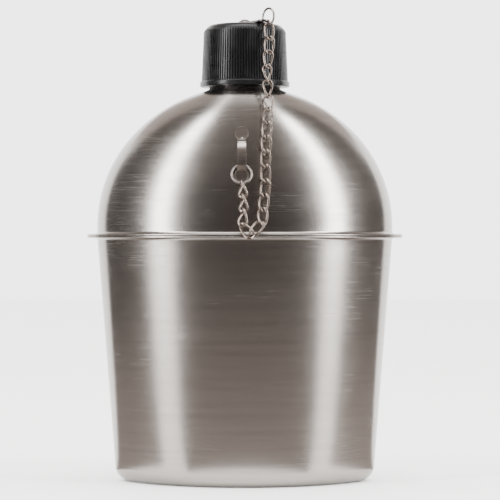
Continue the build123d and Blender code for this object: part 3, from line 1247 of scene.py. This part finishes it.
@dataclass
class SwivelTab:
    """Stamped strip with a round hub under the rivet and an eye at its end."""

    bearing: float = -61.0
    bottom: float = 200.78
    thickness: float = 0.9
    hub: float = 4.0
    width: float = 4.4
    reach: float = 16.6
    eye: float = 2.7
    hole: float = 1.3
    bore: float = 1.65
    edge: float = 0.2

    def outline(self) -> list[tuple[float, float]]:
        """The strip's outer edge, anticlockwise from the eye's tip.

        Returns:
            The edge's points.
        """
        half = self.width / 2
        eye_turn = math.degrees(math.asin(half / self.eye))
        hub_turn = math.degrees(math.asin(half / self.hub))
        edge = arc((self.reach, 0.0), self.eye, -(180 - eye_turn), 180 - eye_turn, 30)
        edge += [(self.reach * share, half) for share in (0.7, 0.55, 0.4)]
        edge += arc((0.0, 0.0), self.hub, hub_turn, 360 - hub_turn, 40)
        edge += [(self.reach * share, -half) for share in (0.4, 0.55, 0.7)]
        return edge

    def build(self, steel: bpy.types.Material) -> bpy.types.Object:
        """Builds the strip with softened edges and both holes.

        Args:
            steel: The strip's finish.

        Returns:
            The strip.
        """
        loops = [
            self.outline(),
            arc((self.reach, 0.0), self.hole, 0, 360 * 27 / 28, 27),
            arc((0.0, 0.0), self.bore, 0, 360 * 31 / 32, 31),
        ]
        work = bmesh.new()
        edges = []
        for loop in loops:
            corners = [work.verts.new((x, y, 0.0)) for x, y in loop]
            pairs = zip(corners, corners[1:] + corners[:1])
            edges += [work.edges.new(pair) for pair in pairs]
        bmesh.ops.triangle_fill(work, edges=edges, use_beauty=True)
        lifted = bmesh.ops.extrude_face_region(work, geom=list(work.faces))["geom"]
        raised = [item for item in lifted if isinstance(item, bmesh.types.BMVert)]
        bmesh.ops.translate(work, verts=raised, vec=(0.0, 0.0, self.thickness))
        bmesh.ops.recalc_face_normals(work, faces=work.faces)
        rims = [e for e in work.edges if e.calc_face_angle(0.0) > math.radians(60)]
        bmesh.ops.bevel(work, geom=rims, offset=self.edge, segments=3, affect="EDGES", profile=0.5)
        turn = Matrix.Rotation(math.radians(self.bearing), 4, "Z")
        shift = Matrix.Translation((0.0, 0.0, self.bottom))
        work.transform(Matrix.Scale(MM, 4) @ shift @ turn)
        mesh = bpy.data.meshes.new("swivel_strip")
        work.to_mesh(mesh)
        work.free()
        mesh.materials.append(steel)
        mesh.shade_smooth()
        strip = bpy.data.objects.new("swivel_strip", mesh)
        bpy.context.scene.collection.objects.link(strip)
        mark_creases(strip, 35)
        return strip


@dataclass
class Rivet:
    """Domed rivet through the strip, the cap's roof, the gasket and its plate."""

    shank: float = 1.6
    head: float = 3.0
    head_height: float = 1.5
    head_bottom: float = 201.76
    tail: float = 2.6
    tail_height: float = 0.7
    tail_top: float = 195.65
    facets: int = 64

    def build(self, steel: bpy.types.Material) -> bpy.types.Object:
        """Builds the rivet.

        Args:
            steel: The rivet's finish.

        Returns:
            The rivet.
        """
        radius = (self.head**2 + self.head_height**2) / (2 * self.head_height)
        centre = self.head_bottom + self.head_height - radius
        start = math.degrees(math.asin((self.head_bottom + 0.15 - centre) / radius))
        low = self.tail_top - self.tail_height
        section = [(0.02, low), (self.tail - 0.3, low), (self.tail, low + 0.3), (self.tail, self.tail_top)]
        section += [(self.shank, self.tail_top), (self.shank, self.head_bottom)]
        section += [(self.head - 0.12, self.head_bottom)]
        section += arc((0.0, centre), radius, start, 89.6, 12)
        points, faces = revolve(section, self.facets)
        close_ends(points, faces, self.facets)
        rivet = mesh_object("rivet_turned", points, faces, steel)
        face_outwards(rivet)
        mark_creases(rivet, 40)
        return rivet


# ------------------------------------------------------------------ rings and chain


@dataclass
class JumpRing:
    """Ring of round wire bent shut, with the fine gap where its ends meet."""

    name: str
    centre: Vector
    normal: Vector
    radius: float
    wire: float
    gap_at: Vector
    gap_degrees: float = 4.0
    steps: int = 96
    spring: float = 0.12  # how far the two ends miss each other

    @classmethod
    def of_cap(cls, centre: Vector) -> "JumpRing":
        """The ring that stands in the swivel strip's eye.

        Args:
            centre: The ring's middle.

        Returns:
            The ring.
        """
        bearing, radius, wire = math.radians(40), 3.6, 1.0
        normal = Vector((math.cos(bearing), math.sin(bearing), 0.0))
        return cls("cap_jump_ring", centre, normal, radius, wire, Vector((1, -1, 0.3)))

    @classmethod
    def of_strap(cls, form: BodyForm) -> "JumpRing":
        """The ring that hangs behind the strap's bridge and leans out at its lower end.

        Args:
            form: The body's form, which the ring rests on.

        Returns:
            The ring.
        """
        across, level, radius, wire = -1.3, 134.6, 4.3, 0.95
        behind_bridge, leaning_out = 0.85, 3.5
        high, low = level + radius, level - radius
        upper = Vector((across, -form.front_skin(0, high) - behind_bridge, high))
        lower = Vector((across, -form.front_skin(0, low) - leaning_out, low))
        normal = Vector((1, 0, 0)).cross((upper - lower).normalized())
        return cls("strap_jump_ring", (upper + lower) / 2, normal, radius, wire, Vector((-1, 0, -0.4)))

    def build(self, steel: bpy.types.Material, wire_tree: bpy.types.NodeTree) -> bpy.types.Object:
        """Builds the ring.

        Args:
            steel: The wire's finish.
            wire_tree: The tree that grows wire along a path.

        Returns:
            The ring.
        """
        normal = self.normal.normalized()
        first = (self.gap_at - normal * self.gap_at.dot(normal)).normalized()
        second = normal.cross(first)
        steps = self.steps
        half_gap = math.radians(self.gap_degrees / 2)
        points = []
        for i in range(steps + 1):
            a = half_gap + (2 * math.pi - 2 * half_gap) * i / steps
            spring = self.spring * (i / steps - 0.5)
            point = self.centre + (first * math.cos(a) + second * math.sin(a)) * self.radius
            points.append(tuple(point + normal * spring))
        edges = [(i, i + 1) for i in range(steps)]
        ring = mesh_object(self.name, points, [], steel, edges)
        Growth.grow(ring, wire_tree, {"Wire": self.wire * MM, "Sides": 20, "Finish": steel})
        return ring


@dataclass
class CurbChain:
    """Nineteen twisted links: down the right side, round below the seam and up to the strap's ring."""

    pitch: float = 6.4
    gap: float = 0.2
    wire: float = 1.05
    width: float = 4.9
    twist: float = 50.0
    start: Point = (10.160, -17.036, 200.325)
    leans: tuple[float, ...] = (
        -3.3, 5, 4.7, -2.8, 0, -2.9, 4, 4.4, 1.7, 2.8, -1.8, 5.4, 7, 1, 43.3, 140.2, 184.1, 178, 174.9,
    )
    slopes: tuple[float, ...] = (
        12, 12, 4, 0, 9, 25, 25, 19, 14, 12, 9, 9, 19, 23, 8, -3, -18.5, -20.1, -20.1,
    )
    faces: tuple[float, ...] = (0, 5, 30, 52, 38, 10, 0, 0, 5, 0, -5, 0, 0, 10, 15, 20, 45, 60, 60)

    def middles(self) -> list[tuple[Vector, Vector]]:
        """Each link's middle and the direction it hangs in.

        Returns:
            The middles and directions, from the cap down.
        """
        spot = Vector(self.start)
        result = []
        for number, (lean, slope) in enumerate(zip(self.leans, self.slopes), start=1):
            lean, slope = math.radians(lean), math.radians(slope)
            along = Vector(
                (-math.sin(lean) * math.cos(slope), -math.sin(slope), -math.cos(lean) * math.cos(slope))
            )
            hang = self.gap + self.wire
            reach = self.pitch + hang if number % 2 else self.pitch - hang
            result.append((spot + along * (reach / 2), along))
            spot = spot + along * reach
        return result

    def link_path(self, middle: Vector, along: Vector, face: float) -> list[Point]:
        """The twisted oval that a link's wire follows.

        Args:
            middle: The link's middle.
            along: The direction it hangs in.
            face: Degrees that its flat is turned away from the front.

        Returns:
            The closed path's points.
        """
        across = Vector((1, 0, 0)) - along * along.x
        if across.length < 0.5:
            across = Vector((0, 0, -1)) + along * along.z
        across.normalize()
        out = across.cross(along)
        bend = (self.width - self.wire) / 2
        straight = (self.pitch + self.gap + self.wire - 2 * bend) / 2
        reach = straight + bend
        flat = arc((straight, 0.0), bend, 90, -90, 18)[1:-1]
        path = [(u, bend) for u in (-straight, -straight / 3, straight / 3, straight)]
        path += flat
        path += [(u, -bend) for u in (straight, straight / 3, -straight / 3, -straight)]
        path += [(-u, -v) for u, v in flat]
        points = []
        for u, v in path:
            turn = math.radians(face + self.twist * u / reach)
            side = across * math.cos(turn) + out * math.sin(turn)
            points.append(tuple(middle + along * u + side * v))
        return points

    def build(
        self, steel: bpy.types.Material, wire_tree: bpy.types.NodeTree
    ) -> list[tuple[int, bpy.types.Object]]:
        """Builds the links, each its own piece.

        Args:
            steel: The wire's finish.
            wire_tree: The tree that grows wire along a path.

        Returns:
            Each link's number and the link.
        """
        links = []
        for number, ((middle, along), face) in enumerate(zip(self.middles(), self.faces), start=1):
            points = self.link_path(middle, along, face)
            count = len(points)
            edges = [(i, (i + 1) % count) for i in range(count)]
            link = mesh_object(f"curb_link_{number:02d}", points, [], steel, edges)
            Growth.grow(link, wire_tree, {"Wire": self.wire * MM, "Sides": 16, "Finish": steel})
            links.append((number, link))
        return links


# ------------------------------------------------------------------ studio


@dataclass
class Studio:
    """Pale floor, a light room, two tall soft boxes, an overhead one and the dark cards between them."""

    distance: float = 970.0
    eye_height: float = 106.65
    focal: float = 159.5
    shift: tuple[float, float] = (0.0104, -0.02)
    floor_reach: float = 3000.0
    room_light: float = 4.0
    card_reach: float = 1400.0
    light_reach: float = 1200.0

    def floor(self) -> None:
        """A plain pale floor."""
        material = bpy.data.materials.new("pale floor")
        material.use_nodes = True
        shader = material.node_tree.nodes["Principled BSDF"]
        shader.inputs["Base Color"].default_value = linear("F4F3F2")
        shader.inputs["Roughness"].default_value = 0.7
        size = self.floor_reach
        corners = [(-size, -size, 0.0), (size, -size, 0.0), (size, size, 0.0), (-size, size, 0.0)]
        mesh_object("floor", corners, [(0, 1, 2, 3)], material)

    def card(self, name: str, points: list[Point], columns: int, near: float, far: float) -> None:
        """A matt card that the camera doesn't see and that darkens the steel's reflections.

        Args:
            name: The card's name.
            points: Two rows of corners in turn, near edge first.
            columns: How many columns of faces it has.
            near: Its brightness along the first row.
            far: Its brightness along the second row.
        """
        material = bpy.data.materials.new(name)
        material.use_nodes = True
        tree = material.node_tree
        shade = add_node(tree, "ShaderNodeAttribute", attribute_name="shade")
        level = add_node(
            tree, "ShaderNodeMapRange", {"Value": shade.outputs["Fac"]}, {"To Min": near, "To Max": far}
        )
        glow = add_node(
            tree,
            "ShaderNodeEmission",
            {"Strength": level.outputs["Result"]},
            {"Color": linear("FFF0E9")},
        )
        tree.links.new(glow.outputs[0], tree.nodes["Material Output"].inputs["Surface"])
        faces = [(2 * i, 2 * i + 2, 2 * i + 3, 2 * i + 1) for i in range(columns)]
        card = mesh_object(name, points, faces, material)
        values = card.data.attributes.new("shade", "FLOAT", "POINT")
        values.data.foreach_set("value", [float(i % 2) for i in range(len(points))])
        card.visible_camera = False
        card.visible_shadow = False
        card.visible_diffuse = False

    def upright_card(
        self, name: str, azimuth: float, width: float, rises: tuple[float, float], glow: tuple[float, float]
    ) -> None:
        """A card that stands round the object.

        Args:
            name: The card's name.
            azimuth: Degrees from straight in front, positive to the right.
            width: Degrees that it spans.
            rises: Lower and upper edge in degrees above level.
            glow: Brightness at the lower and the upper edge.
        """
        reach, steps, points = self.card_reach, 10, []
        for i in range(steps + 1):
            a = math.radians(azimuth - width / 2 + width * i / steps)
            for rise in rises:
                e = math.radians(rise)
                out = reach * math.cos(e)
                points.append((out * math.sin(a), -out * math.cos(a), 100 + reach * math.sin(e)))
        self.card(name, points, steps, *glow)

    def lying_card(
        self, name: str, azimuth: float, width: float, spans: tuple[float, float], glow: tuple[float, float]
    ) -> None:
        """A card that lies just over the floor.

        Args:
            name: The card's name.
            azimuth: Degrees from straight in front, positive to the right.
            width: Degrees that it spans.
            spans: Distance of its near and far edge from the object's axis.
            glow: Brightness at the near and the far edge.
        """
        steps, points = 10, []
        for i in range(steps + 1):
            a = math.radians(azimuth - width / 2 + width * i / steps)
            for reach in spans:
                points.append((reach * math.sin(a), -reach * math.cos(a), 1.0))
        self.card(name, points, steps, *glow)

    def soft_box(
        self, name: str, azimuth: float, rise: float, size: tuple[float, float], power: float
    ) -> None:
        """A rectangular soft box that faces the object.

        Args:
            name: The light's name.
            azimuth: Degrees from straight in front, positive to the right.
            rise: Degrees above level.
            size: Width and height in millimetres.
            power: Watts.
        """
        light = bpy.data.lights.new(name, "AREA")
        light.shape = "RECTANGLE"
        light.size, light.size_y = size[0] * MM, size[1] * MM
        light.energy = power
        lamp = bpy.data.objects.new(name, light)
        a, e = math.radians(azimuth), math.radians(rise)
        aim = Vector((0.0, 0.0, 0.105))
        ray = Vector((math.sin(a) * math.cos(e), -math.cos(a) * math.cos(e), math.sin(e)))
        lamp.location = aim + ray * self.light_reach * MM
        lamp.rotation_euler = ray.to_track_quat("Z", "Y").to_euler()
        bpy.context.scene.collection.objects.link(lamp)

    def room(self) -> None:
        """An even light room."""
        world = bpy.data.worlds.new("light room")
        world.use_nodes = True
        background = world.node_tree.nodes["Background"]
        background.inputs["Color"].default_value = linear("FFFFFF")
        background.inputs["Strength"].default_value = self.room_light
        bpy.context.scene.world = world

    def camera(self) -> None:
        """A long lens, level with the seam, straight in front."""
        data = bpy.data.cameras.new("camera")
        data.lens = self.focal
        data.sensor_width = 36.0
        data.shift_x, data.shift_y = self.shift
        data.clip_end = 20.0
        eye = bpy.data.objects.new("camera", data)
        eye.location = (0.0, -self.distance * MM, self.eye_height * MM)
        eye.rotation_euler = (math.radians(90), 0.0, 0.0)
        bpy.context.scene.collection.objects.link(eye)
        bpy.context.scene.camera = eye

    def build(self) -> None:
        """Sets up the floor, the room, the lights, the cards and the camera."""
        self.floor()
        self.room()
        self.camera()
        self.soft_box("left soft box", -58.0, 20.0, (240, 1500), 21.0)
        self.soft_box("right soft box", 63.0, 20.0, (250, 1500), 24.0)
        self.soft_box("overhead soft box", 0.0, 84.0, (900, 500), 6.0)
        self.upright_card("low front card", 2.5, 105.0, (-5.0, 14.0), (0.10, 0.14))
        self.upright_card("high front card", 2.5, 105.0, (14.0, 64.0), (0.14, 0.55))
        self.upright_card("left dark card", -90.0, 48.0, (-5.0, 62.0), (0.09, 0.22))
        self.upright_card("right dark card", 92.0, 46.0, (-5.0, 62.0), (0.20, 0.30))
        self.upright_card("back ceiling card", 180.0, 150.0, (32.0, 82.0), (1.4, 0.4))
        self.lying_card("front floor card", 2.5, 105.0, (50.0, 600.0), (0.75, 0.14))
        self.lying_card("far front floor card", 2.5, 105.0, (600.0, 1400.0), (0.14, 0.10))
        self.lying_card("left floor card", -90.0, 48.0, (70.0, 700.0), (0.85, 0.12))
        self.lying_card("right floor card", 92.0, 46.0, (70.0, 700.0), (0.95, 0.22))
        self.lying_card("far left floor card", -90.0, 48.0, (700.0, 1400.0), (0.12, 0.09))
        self.lying_card("far right floor card", 92.0, 46.0, (700.0, 1400.0), (0.22, 0.2))


# ------------------------------------------------------------------ assembly


def settle(piece: bpy.types.Object, body: str, slot: str, *nodes: str) -> None:
    """Rides a piece on its body and lets it stand for its CAD nodes.

    Args:
        piece: The finished piece.
        body: The body that it moves with.
        slot: The record's material slot; not used.
        nodes: The CAD nodes that it stands for.
    """
    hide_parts(*nodes)
    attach(piece, body)
    LOG.info("%s rides on %s", piece.name, body)


def dress(frame: dict, node: str, material: bpy.types.Material) -> None:
    """Gives a CAD node that stays in view its finish.

    Args:
        frame: The loaded frame.
        node: The CAD node's name.
        material: Its finish.
    """
    slots = frame["nodes"][node].material_slots
    for slot in slots:
        slot.material = material
    LOG.info("%s stays, in %s", node, material.name)


def main() -> None:
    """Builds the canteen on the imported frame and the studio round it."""
    logging.basicConfig(level=logging.INFO, format="%(message)s")
    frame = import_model()
    Studio().build()

    satin = SatinSteel("satin stainless sheet").material()
    neck_steel = SatinSteel("turned stainless neck", roughness=0.24, hairline_length_mm=8.0).material()
    strap_steel = SatinSteel("pressed stainless strip", roughness=0.28, colour="989089").material()
    bright = BrightWire("tumbled bright steel", colour="958F8B", roughness=0.18, dull_share=0.4).material()
    # The swivel strip's steel is a darker copy of the rivet's trim steel: painted shade, standing in for the
    # strip's darker reflections.
    dark = BrightWire("trim steel darkened as painted shade", colour="6A6562", dull_colour="34302E", roughness=0.24).material()
    nickel = BrightWire("nickel-plated chain wire").material()
    plastic = MouldedPlastic("black moulded plastic").material()
    gasket = MouldedPlastic(
        "off-white gasket rubber", colour="D8D4C8", worn_colour="C2BDAF", roughness=0.62
    ).material()

    form = BodyForm()
    settle(LowerShell(form).build(satin), "canteen", Slot.SATIN.value, "lower_shell")
    settle(UpperShell(form).build(satin), "canteen", Slot.SATIN.value, "upper_shell")
    settle(ChainStrap(form).build(strap_steel), "canteen", Slot.SATIN.value, "chain_bracket")
    dress(frame, "neck", neck_steel)

    wire_tree, round_tree = Growth.wire_tree(), Growth.round_tree()
    settle(Cap().build(plastic, round_tree), "cap", Slot.CAP.value, "cap")
    settle(Rivet().build(bright), "cap", Slot.TRIM.value, "cap_rivet")
    dress(frame, "cap_liner", gasket)
    dress(frame, "liner_plate", bright)
    # The strip wears the darkened copy of the trim steel, which is painted shade.
    settle(SwivelTab().build(dark), "swivel", Slot.TRIM.value, "swivel_tab")

    low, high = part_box("cap_ring")
    ring = JumpRing.of_cap((low + high) / 2 / MM)
    settle(ring.build(bright, wire_tree), "cap_ring", Slot.TRIM.value, "cap_ring")
    ring = JumpRing.of_strap(form)
    settle(ring.build(bright, wire_tree), "bracket_ring", Slot.TRIM.value, "bracket_ring")

    bodies = frame["record"]["behaviour"]["bodies"]
    owner = {node: body for body, nodes in bodies.items() for node in nodes}
    for number, link in CurbChain().build(nickel, wire_tree):
        node = f"chain_link_{number:02d}"
        settle(link, owner[node], Slot.CHAIN.value, node)


if __name__ == "__main__":
    main()
